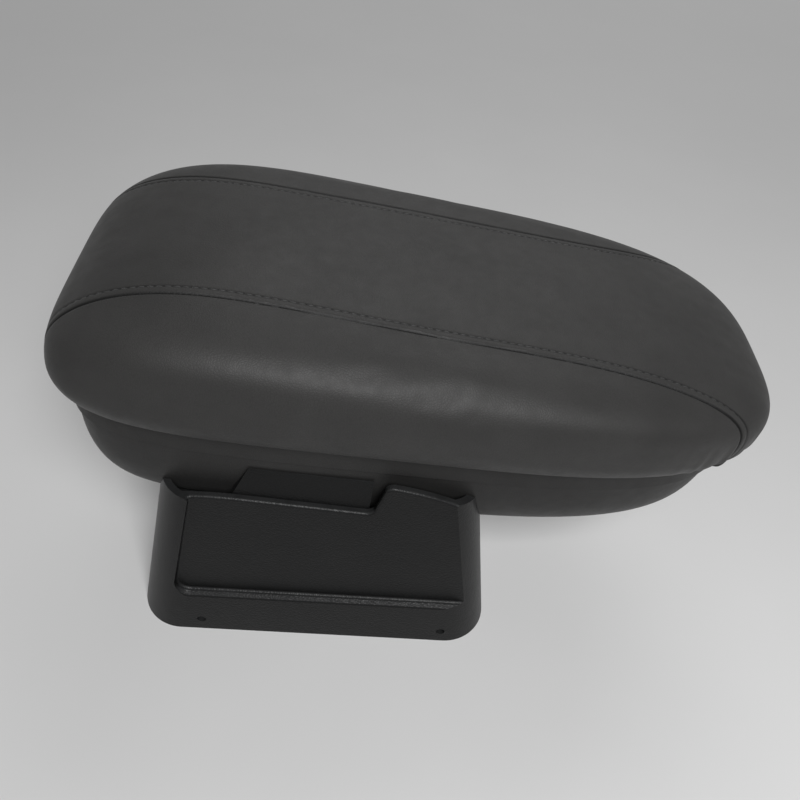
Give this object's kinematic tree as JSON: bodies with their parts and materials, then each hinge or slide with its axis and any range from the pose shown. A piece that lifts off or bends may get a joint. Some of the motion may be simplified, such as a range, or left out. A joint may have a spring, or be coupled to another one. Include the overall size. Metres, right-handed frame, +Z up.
{
  "type": "car centre armrest",
  "caption": "Padded car centre armrest: a sewn leatherette lid hinged at the rear of a boat-shaped storage tray, on a tapered moulded base with a screw-on skirt.",
  "frame": {"origin": "on the surface the base stands on, under the middle of the whole part", "axes": "+X to the front of the armrest (the free nose end), +Y to its left, +Z up"},
  "size_m": [0.3196, 0.1556, 0.1924],
  "materials": {
    "base_abs": "black moulded ABS with a fine leather-grain texture",
    "tray_skin": "dark grey leatherette bonded to the moulded tray",
    "cover_leatherette": "dark grey leatherette, sewn, with matching thread",
    "foam": "open-cell polyurethane foam",
    "board": "wood-fibre board",
    "lining": "black needle-felt lining on a thin panel",
    "mat": "black ribbed rubber mat",
    "zinc_steel": "zinc-plated steel",
    "black_steel": "black-coated steel",
    "magnet": "nickel-plated magnet",
    "catch_plastic": "black moulded plastic",
    "bumper_rubber": "soft black rubber"
  },
  "bodies": {
    "base": {"base_shell": "base_abs", "tray_shell": "tray_skin", "tray_mat": "mat", "tray_washers": "zinc_steel", "tray_screws": "zinc_steel", "hinge_lower_leaf": "black_steel", "hinge_lower_screws": "zinc_steel", "hinge_pin": "zinc_steel", "catch_housing": "catch_plastic", "catch_magnet": "magnet"},
    "lid": {"lid_board": "board", "foam_pad": "foam", "cover_top_panel": "cover_leatherette", "cover_left_panel": "cover_leatherette", "cover_right_panel": "cover_leatherette", "cover_staples": "zinc_steel", "lid_lining": "lining", "lining_screws": "zinc_steel", "hinge_upper_leaf": "black_steel", "hinge_upper_screws": "zinc_steel", "striker_plate": "zinc_steel", "lid_bumpers": "bumper_rubber"}
  },
  "joints": [
    {"name": "lid_hinge", "type": "hinge", "parent": "base", "child": "lid", "pos_m": [-0.15488, 0, 0.14505], "axis": [0, -1, 0], "range_deg": [0, 90]}
  ]
}
